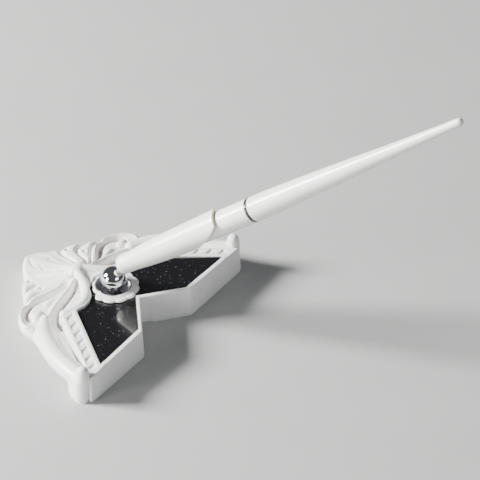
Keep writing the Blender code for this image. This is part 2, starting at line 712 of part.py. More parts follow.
def swivel_stem():
    """A round stem below, with a flat eye for the pin above."""
    heading, across, up = upright_axes()
    stem = placed(lathe("swivel_stem", rod(2.7 - BALL_Z, 11.6 - BALL_Z, STEM_R), 20, "steel"), (0, 0, BALL_Z))
    turns = [math.radians(180 * i / 12) for i in range(13)]
    eye = [(2.1 * math.cos(t), 2.1 * math.sin(t)) for t in turns]
    tongue = [(-TONGUE_WIDE, -2.2), (-TONGUE_WIDE, -6.4), (TONGUE_WIDE, -6.4), (TONGUE_WIDE, -2.2)]
    plate = prism("join_tongue", eye + tongue, [], -TONGUE_HALF, TONGUE_HALF)
    axes = (heading, up, tuple(-Vector(across)))
    boolean(stem, placed(plate, (0, 0, BALL_Z), axes), "UNION")
    hole = lathe("cut_eye", rod(-3.0, 3.0, PIN_R + GAP), 16)
    boolean(stem, placed(hole, (0, 0, BALL_Z), (up, heading, across)))


def stem_hardware():
    inner = STEM_R + GAP
    washer = [(inner, 8.0), (4.2, 8.0), (4.2, 8.6), (inner, 8.6)]
    lathe("stem_washer", washer, 28, "brass")
    hexagon = [(3.2 * math.cos(math.radians(60 * i)), 3.2 * math.sin(math.radians(60 * i))) for i in range(6)]
    prism("stem_nut", hexagon, [circle(0, 0, inner, 16)], 3.2, 5.0, "brass")
    stem_spring()


def stem_spring():
    """A coil of round wire with flat ends."""
    turns, around, sides, wire, mean = 2.25, 14, 5, 0.28, 2.8
    low, high = 5.3 + wire, 7.7 - wire
    count = int(turns * around) + 1
    points, faces = [], []
    for i in range(count):
        turn = 2 * math.pi * i / around
        z = low + (high - low) * i / (count - 1)
        for j in range(sides):
            t = 2 * math.pi * j / sides
            radius = mean + wire * math.cos(t)
            points.append((radius * math.cos(turn), radius * math.sin(turn), z + wire * math.sin(t)))
    for i in range(count - 1):
        for j in range(sides):
            k = (j + 1) % sides
            a, b = i * sides, (i + 1) * sides
            faces.append((a + j, a + k, b + k, b + j))
    faces.append(tuple(range(sides))[::-1])
    faces.append(tuple((count - 1) * sides + j for j in range(sides)))
    mesh_object("stem_spring", points, [f[::-1] for f in faces], "steel", smooth=60)


# ---------------------------------------------------------------- funnel and pen


def axis_foot():
    """The point on the pen axis abreast of the ball's centre."""
    return Vector((0, 0, BALL_Z)) + Vector(pen_axes()[0]) * AXIS_RISE


def on_pen_axis(obj):
    return placed(obj, axis_foot(), pen_axes())


def on_stud_axis(obj):
    return placed(obj, (0, 0, BALL_Z), stud_axes())


def neck_washer():
    profile = [(1.3, 5.35), (1.9, 5.35), (1.9, 5.95), (1.7, 6.15), (1.3, 6.15)]
    on_stud_axis(lathe("neck_washer", profile, 24, "steel"))


def funnel_screw():
    profile = [(0.0, 3.4), (0.95, 3.4), (0.95, 8.5), (1.5, 8.5), (1.5, 9.0), (1.1, 9.4), (0.0, 9.4)]
    on_stud_axis(lathe("funnel_screw", profile, 20, "steel"))


def slanted(radius, z, turn):
    """Cuts the mouth on a slant. It is longest near local +X, its upper side."""
    start = 40.0
    if z <= start:
        return radius, z
    drop = min(LIP_DROP, LIP_SLANT * max(0.0, LIP_START - math.cos(turn - LIP_TURN)))
    lip = FUNNEL_LIP - drop
    share = (z - start) / (FUNNEL_LIP - start)
    narrowing = (1 - (lip - start) / (FUNNEL_LIP - start)) * share
    return radius - 0.75 * narrowing, start + share * (lip - start)


def funnel():
    foot = FUNNEL_FOOT
    corner = [(1.05 + r, foot + 3.0 + z) for r, z in arc(3.0, -90, 0, 6)]
    outside = [(4.1, 12.0), (4.3, 15.0), (4.9, 22.0), (5.4, 29.6), (5.65, 37.0), (5.75, 40.0), (6.1, 50.0)]
    lip = [(6.45, FUNNEL_LIP - 0.25), (6.2, FUNNEL_LIP), (5.55, FUNNEL_LIP)]
    inside = [
        (5.45, 50.0), (4.95, 40.0), (4.6, 30.0), (4.0, 22.0), (3.4, 15.0), (3.3, 11.0), (2.9, 9.3),
        (1.3, 8.4),
    ]
    profile = [(0.0, foot)] + corner + outside + lip + inside + [(0.0, 8.4)]
    body = on_pen_axis(lathe("funnel", profile, 30, "pearl", smooth=50, squeeze=slanted))
    bore = [(0.0, 4.0), (1.25, 4.0), (1.25, 8.2), (1.9, 8.2), (1.9, 12.0), (0.0, 12.0)]
    hole = lathe("cut_funnel", bore, 16)
    boolean(body, on_stud_axis(hole))


def pen():
    grip = [
        (2.6, 18.0), (2.9, 18.0), (3.2, 22.0), (3.9, 30.0), (4.6, 44.0), (5.0, 53.0), (5.08, 62.0),
        (5.12, RING_AT - RING_HALF - GAP), (3.9, RING_AT - RING_HALF - GAP), (3.9, 66.0), (2.0, 64.0),
        (2.0, 20.0), (2.3, 18.6),
    ]
    on_pen_axis(lathe("pen_grip", grip, 26, "pearl"))
    cone = [(0.75, 12.5), (1.0, 12.5), (2.7, 17.7), (1.7, 17.7), (1.4, 16.0), (0.75, 13.4)]
    on_pen_axis(lathe("nib_cone", cone, 18, "chrome"))
    tip = [(0.0, 11.2), (0.35, 11.4), (0.45, 13.6), (0.45, 14.5), (0.0, 14.5)]
    on_pen_axis(lathe("refill_tip", tip, 14, "brass"))
    tube = [(0.0, 14.8), (0.5, 14.8), (1.05, 16.6), (1.2, 18.0), (1.2, 110.0), (0.0, 110.0)]
    on_pen_axis(lathe("refill_tube", tube, 16, "brass"))
    sleeve = [(2.6, 66.4), (3.6, 66.4), (3.6, 83.0), (2.6, 83.0)]
    on_pen_axis(lathe("joint_sleeve", sleeve, 20, "brass"))
    low, high = RING_AT - RING_HALF, RING_AT + RING_HALF
    ring = [(3.9, low), (5.2, low), (5.2, high), (3.9, high)]
    on_pen_axis(lathe("pen_ring", ring, 26, "chrome"))
    pen_tail()


def pen_tail():
    start = RING_AT + RING_HALF + GAP
    outside = [
        (5.12, start), (5.15, 80.0), (5.05, 86.0), (4.85, 93.5), (4.5, 104.0), (4.1, 115.0), (3.6, 127.0),
        (3.05, 138.0), (2.65, 148.0), (2.25, 159.0), (1.9, 170.0), (1.8, 174.5),
    ]
    turns = [math.radians(30 * i) for i in range(1, 4)]
    nose = [(1.78 * math.cos(t), PEN_END - 1.78 + 1.78 * math.sin(t)) for t in turns]
    nose[-1] = (0.0, PEN_END)
    inside = [(0.0, 116.0), (1.9, 114.0), (2.3, 84.5), (3.9, 83.8), (3.9, start)]
    on_pen_axis(lathe("pen_tail", outside + nose + inside, 26, "pearl", smooth=50))


def main():
    for obj in list(bpy.data.objects):
        bpy.data.objects.remove(obj, do_unlink=True)
    sheet = top_sheet()
    base_shell(sheet)
    bottom_plate(sheet)
    plate_screws()
    glitter_panel()
    rosette()
    swivel_cup()
    swivel_stem()
    stem_hardware()
    ball()
    tilt_pin()
    neck_washer()
    funnel_screw()
    funnel()
    pen()


main()
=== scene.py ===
"""Looks for the desk pen set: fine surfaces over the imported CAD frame, materials, studio and camera."""

import json
import math

import bpy
import numpy as np
from mathutils import Matrix, Vector
from mathutils.geometry import delaunay_2d_cdt


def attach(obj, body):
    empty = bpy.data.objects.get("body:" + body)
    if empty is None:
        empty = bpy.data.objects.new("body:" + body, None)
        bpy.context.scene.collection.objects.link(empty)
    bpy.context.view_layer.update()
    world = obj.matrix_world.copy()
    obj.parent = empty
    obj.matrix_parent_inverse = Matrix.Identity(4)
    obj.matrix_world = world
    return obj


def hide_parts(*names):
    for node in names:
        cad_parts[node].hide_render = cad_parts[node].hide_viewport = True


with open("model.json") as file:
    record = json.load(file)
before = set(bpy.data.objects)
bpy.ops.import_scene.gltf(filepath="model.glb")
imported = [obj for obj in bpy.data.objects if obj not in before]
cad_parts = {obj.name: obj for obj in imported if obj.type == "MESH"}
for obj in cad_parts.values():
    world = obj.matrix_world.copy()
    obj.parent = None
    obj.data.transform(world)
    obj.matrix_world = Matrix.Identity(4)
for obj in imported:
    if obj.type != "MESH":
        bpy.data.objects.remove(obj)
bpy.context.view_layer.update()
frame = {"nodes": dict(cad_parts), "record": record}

MM = 0.001
# Half the spacing of the base's surface points, in millimetres, and how many rings its wall has
FINE = 0.45
WALL_RINGS = 14

# The base, in millimetres
SEAM = 1.2
DECK_FLOOR = 10.9
DECK_UNDER = 8.9
STEM_HOLE = 1.8
PANEL_TOP = 12.4
RIM_TOP = 13.6
RIM_FALL = 1.3
DRAFT = 0.6
PANEL_GAP = 0.3
FLANGE = 0.8

# Swivel, funnel and pen
BALL_Z = 17.2
BALL_R = 5.2
CUP_R = 7.1
ROSETTE_R = 10.7
PEN_ELEVATION = math.radians(36.0)
PEN_TURN = math.radians(20.5)
AXIS_RISE = 4.0
FUNNEL_FOOT = 6.1
FUNNEL_LIP = 59.2
LIP_TURN = math.radians(25.0)
LIP_SLANT = 12.0
LIP_START = 0.766
LIP_DROP = 16.0
SLANT_START = 40.0
RING_AT = 74.7
RING_HALF = 0.35
PEN_END = 177.8
TAIL_TIP_R = 1.79
GAP = 0.3
TONGUE_WIDE = 1.5
SLOT_HALF = 1.1
PIN_R = 0.8
TILT_DOWN = 20.0
TILT_UP = 30.0

# Right half of the outline, from the notch round to the back, as arcs that meet in sharp corners
FRONT_EDGE = [(0.0, -13.5), (16.5, -26.7), (50.6, -26.5)]
POST = [
    (50.9, -25.4), (52.1, -25.5), (53.3, -24.7), (54.1, -23.2), (54.2, -21.4), (53.3, -19.0),
    (52.2, -16.6),
]
ROLL_SIDE = [
    (52.2, -16.6), (51.4, -12.8), (49.9, -8.0), (48.2, -3.6), (45.9, 0.8), (42.9, 5.6), (40.6, 8.8),
    (38.0, 12.2),
]
SCROLL_SIDE = [
    (38.0, 12.2), (37.9, 15.0), (37.4, 17.8), (35.8, 20.6), (32.8, 23.4), (29.4, 25.0), (26.6, 25.6),
    (24.7, 25.2),
]
LOBE_SIDE = [(24.7, 25.2), (24.2, 27.0), (22.9, 28.4), (20.9, 29.2), (19.3, 29.5)]
BAND_SIDE = [(19.3, 29.5), (18.7, 31.4), (17.0, 33.5), (14.6, 34.9), (12.3, 35.1), (11.1, 35.6)]
FAN_SIDE = [(11.1, 35.6), (10.0, 37.6), (7.4, 40.4), (3.8, 43.3), (0.0, 45.0)]

# Front plate, drawn past the front edge, with its inlay and ladder strips
FRONT_PLATE = [
    (0.0, -16.0), (16.5, -29.2), (52.6, -29.0), (48.5, -23.9), (44.0, -17.6), (37.3, -8.4), (31.8, -0.7),
    (26.6, 6.2), (21.0, 4.4), (15.0, 4.4), (10.0, 6.0), (5.0, 9.8), (0.0, 10.6),
]
PANEL = [
    (0.0, -10.9), (16.2, -24.3), (41.2, -24.3), (20.9, 2.7), (16.6, 1.7), (12.6, 2.2), (9.0, 3.9), (6.8, 6.8),
    (0.0, 9.6),
]
PANEL_SIDE = [(41.2, -24.3), (20.9, 2.7)]
LADDER_EDGES = (2.1, 2.3, 4.7, 5.5)
LADDER_DEPTH = 0.1
RUNG_PITCH = 4.15
RUNG_START = -21.5
RUNG_DEPTH = 0.6
RUNG_COUNT = 7

# Ribbons, ridges and grooves of the bow
KNOT = (0.0, 18.0)
RIBBON = [(1.5, 17.2), (4.0, 12.8), (6.4, 9.2), (9.8, 6.1), (14.2, 4.2), (19.4, 4.2), (24.6, 6.4)]
BETWEEN = [(0.0, 8.0), (9.0, 5.0), (6.5, 9.0), (4.0, 13.0), (0.0, 15.0)]
RIDGE = [(5.0, 15.8), (10.3, 14.2), (15.3, 14.4), (19.6, 14.3), (23.6, 13.6), (28.0, 12.2)]
SECOND_RIDGE = [(7.0, 15.4), (12.3, 15.4), (17.0, 16.4), (21.5, 17.6)]
ROLL = [
    (29.0, 12.6), (34.0, 9.2), (38.6, 4.6), (42.4, -1.4), (45.4, -8.2), (47.4, -14.4), (49.2, -19.8),
    (51.2, -22.8),
]
ROLL_R = 4.5
RIBBON_R = 2.0
KNOB = (51.4, -23.0)
KNOB_R = 2.5
KNOB_FOOT = 14.35
SCROLL_GROOVE = [
    (5.0, 16.0), (9.4, 16.6), (13.1, 17.6), (17.0, 19.4), (20.8, 22.0), (24.6, 23.1), (28.2, 22.5),
    (30.6, 20.7), (31.2, 18.9),
]
SCROLL_RIM = [
    (11.0, 18.6), (16.0, 21.4), (20.6, 24.0), (25.0, 25.0), (29.6, 24.4), (33.6, 21.9), (35.9, 18.4),
    (36.0, 14.6),
]
SCROLL_BALL = (28.4, 16.8)
LOBE_GROOVE = [(2.2, 20.6), (5.2, 24.0), (7.3, 28.8), (9.3, 33.4), (11.1, 36.0)]
BAND_GROOVE = [(4.4, 16.9), (6.8, 18.8), (9.8, 22.4), (12.4, 27.2), (15.6, 30.0), (19.3, 30.0)]
SIDE_GROOVE = [(4.8, 17.0), (9.1, 18.2), (13.6, 21.4), (18.6, 24.8), (24.9, 25.6)]
FRONT_GROOVE = [(5.2, 14.6), (9.4, 12.8), (14.0, 12.2), (18.6, 12.0), (22.6, 11.0), (25.6, 8.6), (27.6, 5.4)]
CROSS_LIP = [(33.0, 7.4), (31.6, 4.8), (29.4, 2.8)]
SWIRL = [(0.5, 42.4), (2.0, 40.6), (3.8, 38.0), (4.2, 35.6), (2.7, 34.5), (3.8, 32.8)]
PITS = [(12.6, 33.0), (13.7, 29.2), (16.0, 28.2), (14.5, 25.4)]
KNOT_PIT = (4.2, 16.6)

# Camera, in millimetres of lens, degrees and metres
VIEW_LENS = 375.0
VIEW_TURN = -54.63
VIEW_TILT = 38.76
VIEW_CENTRE = (0.06722, -0.01499, 0.0)
VIEW_DISTANCE = 2.0624


# ---------------------------------------------------------------- plane geometry


def mirrored(half):
    """The whole symmetric outline from its right half, which runs from front to back."""
    return half + [(-x, y) for x, y in reversed(half) if x > 0.0]


def circle(radius, count):
    """A closed line round the origin, its first point repeated at the end."""
    turns = [-2 * math.pi * i / count for i in range(count)]
    line = [(radius * math.cos(t), radius * math.sin(t)) for t in turns]
    return line + line[:1]


def offset(polygon, by):
    """The anticlockwise polygon moved outward by this much, with mitred corners."""
    points = np.array(polygon)
    ahead = np.roll(points, -1, axis=0) - points
    ahead /= np.linalg.norm(ahead, axis=1)[:, None]
    normal = np.stack([ahead[:, 1], -ahead[:, 0]], axis=1)
    before = np.roll(normal, 1, axis=0)
    mitre = normal + before
    mitre /= np.maximum((mitre * normal).sum(axis=1), 0.55)[:, None]
    return [tuple(p) for p in points + mitre * by]


def arc(radius, first, last, count):
    """Points on an arc about the origin, between two angles in degrees."""
    turns = [math.radians(first + (last - first) * i / count) for i in range(count + 1)]
    return [(radius * math.cos(t), radius * math.sin(t)) for t in turns]


def rod(low, high, radius):
    """The lathe profile of a plain cylinder."""
    return [(0.0, low), (radius, low), (radius, high), (0.0, high)]


def refined(polygon, longest, closed=True):
    """The same line with no piece longer than this."""
    points = []
    ends = polygon[1:] + polygon[:1] if closed else polygon[1:]
    for (x0, y0), (x1, y1) in zip(polygon, ends):
        count = max(1, math.ceil(math.hypot(x1 - x0, y1 - y0) / longest))
        points += [(x0 + (x1 - x0) * i / count, y0 + (y1 - y0) * i / count) for i in range(count)]
    return points if closed else points + [polygon[-1]]


def softened(line, steps=6):
    """A Catmull-Rom curve through the points of an open line."""
    points = [line[0]] + list(line) + [line[-1]]
    curve = []
    for p0, p1, p2, p3 in zip(points, points[1:], points[2:], points[3:]):
        for i in range(steps):
            t = i / steps
            weights = (
                -0.5 * t + t * t - 0.5 * t**3,
                1 - 2.5 * t * t + 1.5 * t**3,
                0.5 * t + 2 * t * t - 1.5 * t**3,
                -0.5 * t * t + 0.5 * t**3,
            )
            around = (p0, p1, p2, p3)
            curve.append(tuple(sum(w * p[axis] for w, p in zip(weights, around)) for axis in (0, 1)))
    return curve + [tuple(line[-1])]


def line_distance(x, y, line):
    """The distance from each point to an open line, and how far along it the nearest place is, 0 to 1."""
    best = np.full(x.shape, 1e9)
    along = np.zeros(x.shape)
    lengths = [math.dist(a, b) for a, b in zip(line, line[1:])]
    total = sum(lengths)
    done = 0.0
    for (x0, y0), (x1, y1), length in zip(line, line[1:], lengths):
        t = ((x - x0) * (x1 - x0) + (y - y0) * (y1 - y0)) / length**2
        t = np.clip(t, 0.0, 1.0)
        d = np.hypot(x - x0 - t * (x1 - x0), y - y0 - t * (y1 - y0))
        nearer = d < best
        best = np.where(nearer, d, best)
        along = np.where(nearer, (done + t * length) / total, along)
        done += length
    return best, along


def depth_inside(x, y, polygon):
    """How far each point is inside a closed polygon, negative outside."""
    closed = list(polygon) + [polygon[0]]
    distance, _ = line_distance(x, y, closed)
    inside = np.zeros(x.shape, bool)
    for (x0, y0), (x1, y1) in zip(closed, closed[1:]):
        crosses = (y0 > y) != (y1 > y)
        run = y1 - y0 if y1 != y0 else 1e-9
        inside ^= crosses & (x < (x1 - x0) * (y - y0) / run + x0)
    return np.where(inside, distance, -distance)


def step(value, low, high):
    """A smooth step from zero at low to one at high."""
    t = np.clip((value - low) / (high - low), 0.0, 1.0)
    return t * t * (3 - 2 * t)


# ---------------------------------------------------------------- the ornamented top


def half_outline():
    """The right half of the outline with its arcs drawn smooth."""
    half = list(FRONT_EDGE)
    for side in (POST, ROLL_SIDE, SCROLL_SIDE, LOBE_SIDE, BAND_SIDE, FAN_SIDE):
        curve = softened(side)
        half += curve if side is POST else curve[1:]
    return half


def near(x, y, line, width):
    """One on the line, falling off to nothing a few widths away."""
    return np.exp(-((line_distance(x, y, line)[0] / width) ** 2))


def groove(height, x, y, line, depth, narrow, wide):
    """A groove that starts fine at the knot and opens out along its line."""
    distance, along = line_distance(x, y, softened(line))
    width = narrow + (wide - narrow) * along
    return height - depth * np.exp(-((distance / width) ** 2)) * step(along, -0.08, 0.22)


def tube(x, y, line, radius, low, high, slim=1.0):
    """The upper side of a round bar along a line, its crest between these heights at the two ends.

    It starts at this share of its radius.
    """
    distance, along = line_distance(x, y, line)
    crest = low + (high - low) * along
    radius = radius * (slim + (1 - slim) * step(along, 0.0, 0.24))
    return crest - radius + np.sqrt(np.maximum(radius**2 - distance**2, 0.0)) - 20.0 * (distance > radius)


def dome(x, y, centre, long, short, base, rise):
    """An oval dome on a foot at this height, and far below everything outside it."""
    inside = 1 - ((x - centre[0]) / long) ** 2 - ((y - centre[1]) / short) ** 2
    return base + rise * np.sqrt(np.maximum(inside, 0.0)) - 20.0 * (inside <= 0)


def bow_height(x, y):
    """The bow and shell, which fall away from the knot in folds."""
    away = np.hypot(0.7 * x, y - KNOT[1])
    height = 6.0 + 9.4 * np.exp(-away / 14.5)
    spread = np.arctan2(x, y - KNOT[1])
    fan = step(0.56 - spread, 0.0, 0.12)
    height += 0.32 * fan * np.cos(spread * 26.0) * step(away, 3.0, 7.0) * np.exp(-away / 13.0)
    height += 0.45 * fan * np.cos(spread * 5.4)
    height += 1.0 * near(x, y, softened(SCROLL_RIM), 1.3) + 0.9 * near(x, y, softened(SECOND_RIDGE), 1.1)
    height += 1.1 * near(x, y, softened(RIDGE), 1.0)
    height += 0.6 * np.exp(-(np.hypot(x - 20.0, y - 26.6) / 2.6) ** 2)
    height = groove(height, x, y, LOBE_GROOVE, 1.5, 0.55, 0.8)
    height = groove(height, x, y, BAND_GROOVE, 1.4, 0.6, 0.9)
    height = groove(height, x, y, SIDE_GROOVE, 1.3, 0.6, 0.9)
    height = groove(height, x, y, SCROLL_GROOVE, 2.3, 0.7, 1.5)
    height = groove(height, x, y, FRONT_GROOVE, 2.1, 0.5, 1.8)
    height -= 0.45 * near(x, y, softened(SWIRL), 0.55)
    for pit in PITS:
        height -= 0.9 * np.exp(-(np.hypot(x - pit[0], y - pit[1]) / 0.75) ** 2)
    height = np.maximum(height, dome(x, y, SCROLL_BALL, 3.1, 2.0, 8.2, 1.9))
    height = np.maximum(height, dome(x, y, KNOT, 4.4, 3.0, 13.4, 2.3))
    return height - 1.6 * np.exp(-(np.hypot(x - KNOT_PIT[0], y - KNOT_PIT[1]) / 0.9) ** 2)


def plate_height(x, y):
    """The front plate: a rim, and a ladder strip along each side of the inlay."""
    height = RIM_TOP - RIM_FALL * np.clip((x - 18.0) / 30.0, 0.0, 1.0)
    across, _ = line_distance(x, y, PANEL_SIDE)
    start, full, end, gone = LADDER_EDGES
    strip = step(across, start, full) * step(-across, -gone, -end)
    strip = strip * step(x - y, 18.6, 19.2) * step(y, -24.4, -24.2)
    share = np.mod((RUNG_START - y) / RUNG_PITCH, 1.0)
    sunk = np.clip(share / 0.1, 0.0, 1.0) * np.clip(1 - (share - 0.1) / 0.6, 0.0, 1.0)
    height = height - RUNG_DEPTH * strip * sunk - LADDER_DEPTH * strip
    return height + 0.18 * np.exp(-(((across - 1.15) / 0.75) ** 2))


def channel_height(x, y):
    """The hollow between the front plate and the roll, with a lip across it."""
    return 8.7 + 2.5 * step(-y, -3.0, 14.0) + 1.0 * near(x, y, CROSS_LIP, 0.7)


def top_height(x, y):
    """The height of the finished upper surface at each point."""
    x = np.abs(x)
    front = step(depth_inside(x, y, mirrored(FRONT_PLATE)), -0.2, 0.2)
    shoulder = step(x + 0.6 * (y - 8.0), 27.0, 32.0) * step(12.0 - y, 0.0, 5.0)
    rear = bow_height(x, y) * (1 - shoulder) + channel_height(x, y) * shoulder
    between = step(depth_inside(x, y, mirrored(BETWEEN)), -0.6, 0.6)
    rear = np.maximum(rear, 13.3 * between)
    height = front * plate_height(x, y) + (1 - front) * rear
    distance, along = line_distance(x, y, softened(ROLL))
    outside = (depth_inside(x, y, mirrored(half_outline())) < 5.5) & (distance > 3.0) & (along > 0.1)
    outer = outside & (x + 0.36 * y > 41.0) & (y > -18.0)
    height = np.where(outer & (front < 0.5), np.minimum(height, 8.0), height)
    height = np.maximum(height, tube(x, y, softened(RIBBON), RIBBON_R, 15.4, 13.6))
    height = np.maximum(height, tube(x, y, softened(ROLL), ROLL_R, 11.2, 12.6, 0.5))
    height = np.maximum(height, dome(x, y, KNOB, KNOB_R, KNOB_R, KNOB_FOOT, KNOB_R))
    recess = step(depth_inside(x, y, offset(mirrored(PANEL), PANEL_GAP)), -0.05, 0.05)
    height = height * (1 - recess) + DECK_FLOOR * recess
    edge = depth_inside(x, y, mirrored(half_outline()))
    at_front, _ = line_distance(x, y, FRONT_EDGE)
    radius = np.where(at_front < 1.2, 0.6, np.where((y < 9.0) & (y > -18.0), 0.4, 1.6))
    short = np.clip(radius - edge, 0.0, radius)
    return height - radius + np.sqrt(np.maximum(radius**2 - short**2, 0.0))


# ---------------------------------------------------------------- meshes


def mesh_object(name, points, faces, material, smooth=35):
    """An object from points in millimetres, shaded smooth below this angle."""
    mesh = bpy.data.meshes.new(name)
    mesh.from_pydata([tuple(c * MM for c in p) for p in points], [], faces)
    mesh.validate()
    mesh.shade_smooth()
    mesh.set_sharp_from_angle(angle=math.radians(smooth))
    obj = bpy.data.objects.new(name, mesh)
    bpy.context.scene.collection.objects.link(obj)
    obj.data.materials.append(material)
    return obj


def lathe(name, profile, count, material, smooth=35, squeeze=None):
    """A solid turned about Z from a closed (radius, z) profile that runs anticlockwise in the r, z plane."""
    points, rings = [], []
    for radius, z in profile:
        if radius < 1e-6:
            rings.append([len(points)] * count)
            points.append((0.0, 0.0, z))
            continue
        rings.append(list(range(len(points), len(points) + count)))
        for i in range(count):
            turn = 2 * math.pi * i / count
            r, lift = (radius, z) if squeeze is None else squeeze(radius, z, turn)
            points.append((r * math.cos(turn), r * math.sin(turn), lift))
    faces = []
    for low, high in zip(rings, rings[1:] + rings[:1]):
        for i in range(count):
            j = (i + 1) % count
            corners = (low[i], low[j], high[j], high[i])
            kept = [c for n, c in enumerate(corners) if c != corners[n - 1]]
            if len(set(kept)) >= 3:
                faces.append(kept)
    return mesh_object(name, points, faces, material, smooth)


def prism(name, outline, low, high, material):
    """A closed outline carried straight up between two heights."""
    count = len(outline)
    points = [(*p, low) for p in outline] + [(*p, high) for p in outline]
    faces = [tuple(range(count))[::-1], tuple(range(count, 2 * count))]
    faces += [(i, (i + 1) % count, (i + 1) % count + count, i + count) for i in range(count)]
    return mesh_object(name, points, faces, material)


def placed(obj, spot, axes):
    """Puts the mesh itself in place, so that the object's box stays true to its shape."""
    obj.data.transform(Matrix.Translation(Vector(spot) * MM) @ Matrix(axes).transposed().to_4x4())
    return obj


def pen_axes():
    """Up from the pen in its upright plane, across it, and along it toward its tapered end."""
    along = (
        math.cos(PEN_ELEVATION) * math.sin(PEN_TURN),
        -math.cos(PEN_ELEVATION) * math.cos(PEN_TURN),
        math.sin(PEN_ELEVATION),
    )
    rise = (
        -math.sin(PEN_ELEVATION) * math.sin(PEN_TURN),
        math.sin(PEN_ELEVATION) * math.cos(PEN_TURN),
        math.cos(PEN_ELEVATION),
    )
    across = tuple(Vector(along).cross(Vector(rise)))
    return rise, across, along


def on_pen_axis(obj):
    """Puts a piece that was turned about Z onto the common axis of funnel and pen."""
    spot = Vector((0, 0, BALL_Z)) + Vector(pen_axes()[0]) * AXIS_RISE
    return placed(obj, spot, pen_axes())


def stands_for(obj, body, node):
    """Shows this piece instead of a CAD node, and moves it with the node's body."""
    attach(obj, body)
    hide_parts(node)


# ---------------------------------------------------------------- materials


class Shader:
    """A Principled material with a few short ways to wire procedural detail into it."""

    def __init__(self, name, **values):
        self.material = bpy.data.materials.new(name)
        self.material.use_nodes = True
        self.nodes = self.material.node_tree.nodes
        self.links = self.material.node_tree.links
        self.surface = self.nodes["Principled BSDF"]
        self.coordinates = self.nodes.new("ShaderNodeTexCoord").outputs["Object"]
        for label, value in values.items():
            self.surface.inputs[label.replace("_", " ")].default_value = value

    def add(self, kind, **inputs):
        node = self.nodes.new("ShaderNode" + kind)
        for label, value in inputs.items():
            self.put(node.inputs[label.replace("_", " ")], value)
        return node

    def put(self, socket, value):
        if isinstance(value, bpy.types.NodeSocket):
            self.links.new(value, socket)
        else:
            socket.default_value = value

    def noise(self, scale, detail=4.0):
        node = self.add("TexNoise", Vector=self.coordinates, Scale=scale, Detail=detail, Roughness=0.55)
        return node.outputs["Fac"]

    def ranged(self, value, low, high, new_low, new_high):
        node = self.add("MapRange", Value=value)
        labels = ("From Min", "From Max", "To Min", "To Max")
        for label, number in zip(labels, (low, high, new_low, new_high)):
            node.inputs[label].default_value = number
        return node.outputs["Result"]

    def mixed(self, factor, first, second):
        node = self.nodes.new("ShaderNodeMix")
        node.data_type = "RGBA"
        self.put(node.inputs["Factor"], factor)
        self.put(node.inputs["A"], first)
        self.put(node.inputs["B"], second)
        return node.outputs["Result"]

    def bumped(self, height, strength, distance):
        node = self.add("Bump", Height=height, Strength=strength, Distance=distance)
        self.put(self.surface.inputs["Normal"], node.outputs["Normal"])

    def into(self, label, value):
        self.put(self.surface.inputs[label], value)


def white_plastic():
    """Moulded white plastic with faint clouding and an orange-peel skin."""
    s = Shader("white_moulding", IOR=1.49, Subsurface_Weight=0.05, Subsurface_Scale=0.002)
    cloud = s.ranged(s.noise(90.0), 0.35, 0.65, 0.0, 1.0)
    s.into("Base Color", s.mixed(cloud, (0.84, 0.835, 0.82, 1), (0.89, 0.885, 0.87, 1)))
    s.into("Roughness", s.ranged(s.noise(420.0), 0.3, 0.7, 0.26, 0.40))
    s.bumped(s.noise(1500.0, 2.0), 0.12, 0.0001)
    return s.material


def pearl_plastic():
    """Pearl white with a broad soft sheen."""
    s = Shader("pearl_barrel", IOR=1.5, Coat_Weight=0.3, Coat_Roughness=0.22, Subsurface_Weight=0.05)
    s.into("Subsurface Scale", 0.002)
    sheen = s.ranged(s.noise(60.0), 0.3, 0.7, 0.0, 1.0)
    s.into("Base Color", s.mixed(sheen, (0.86, 0.85, 0.82, 1), (0.91, 0.905, 0.885, 1)))
    s.into("Roughness", s.ranged(s.noise(300.0), 0.3, 0.7, 0.26, 0.36))
    return s.material


def cream_edge():
    """Unpolished plastic, slightly yellowed."""
    s = Shader("cream_edge", IOR=1.5)
    stain = s.ranged(s.noise(400.0), 0.3, 0.7, 0.0, 1.0)
    s.into("Base Color", s.mixed(stain, (0.72, 0.62, 0.40, 1), (0.84, 0.75, 0.54, 1)))
    s.into("Roughness", s.ranged(s.noise(900.0), 0.3, 0.7, 0.4, 0.55))
    return s.material


def specks(s, scale, radius, share, dim, bright):
    """Small round specks of uneven brightness in this share of the cells."""
    cells = s.add("TexVoronoi", Vector=s.coordinates, Scale=scale)
    size = s.ranged(cells.outputs["Distance"], radius * 0.7, radius, 1.0, 0.0)
    tint = s.add("SeparateColor", Color=cells.outputs["Color"])
    rare = s.ranged(tint.outputs["Red"], 1 - share, 1.01 - share, 0.0, 1.0)
    glow = s.ranged(tint.outputs["Green"], 0.0, 1.0, dim, bright)
    product = size
    for other in (rare, glow):
        node = s.add("Math")
        node.operation = "MULTIPLY"
        s.put(node.inputs[0], product)
        s.put(node.inputs[1], other)
        product = node.outputs["Value"]
    return product


def glitter_black():
    """Glossy black with fine and coarse bright flakes under a clear coat."""
    s = Shader("glitter_inlay", IOR=1.5, Coat_Weight=1.0, Coat_Roughness=0.04)
    black, silver = (0.006, 0.006, 0.007, 1), (0.85, 0.86, 0.9, 1)
    fine = s.mixed(specks(s, 1500.0, 0.34, 0.10, 0.02, 0.22), black, silver)
    s.into("Base Color", s.mixed(specks(s, 1200.0, 0.22, 0.02, 0.15, 0.8), fine, silver))
    s.into("Roughness", s.ranged(s.noise(200.0), 0.3, 0.7, 0.12, 0.22))
    return s.material


def metal(name, colour, dark, low, high):
    """Metal with a fine uneven polish."""
    s = Shader(name, Metallic=1.0)
    stain = s.ranged(s.noise(160.0), 0.35, 0.7, 0.0, 1.0)
    s.into("Base Color", s.mixed(stain, (*colour, 1), (*dark, 1)))
    s.into("Roughness", s.ranged(s.noise(700.0), 0.3, 0.7, low, high))
    return s.material


# ---------------------------------------------------------------- the base


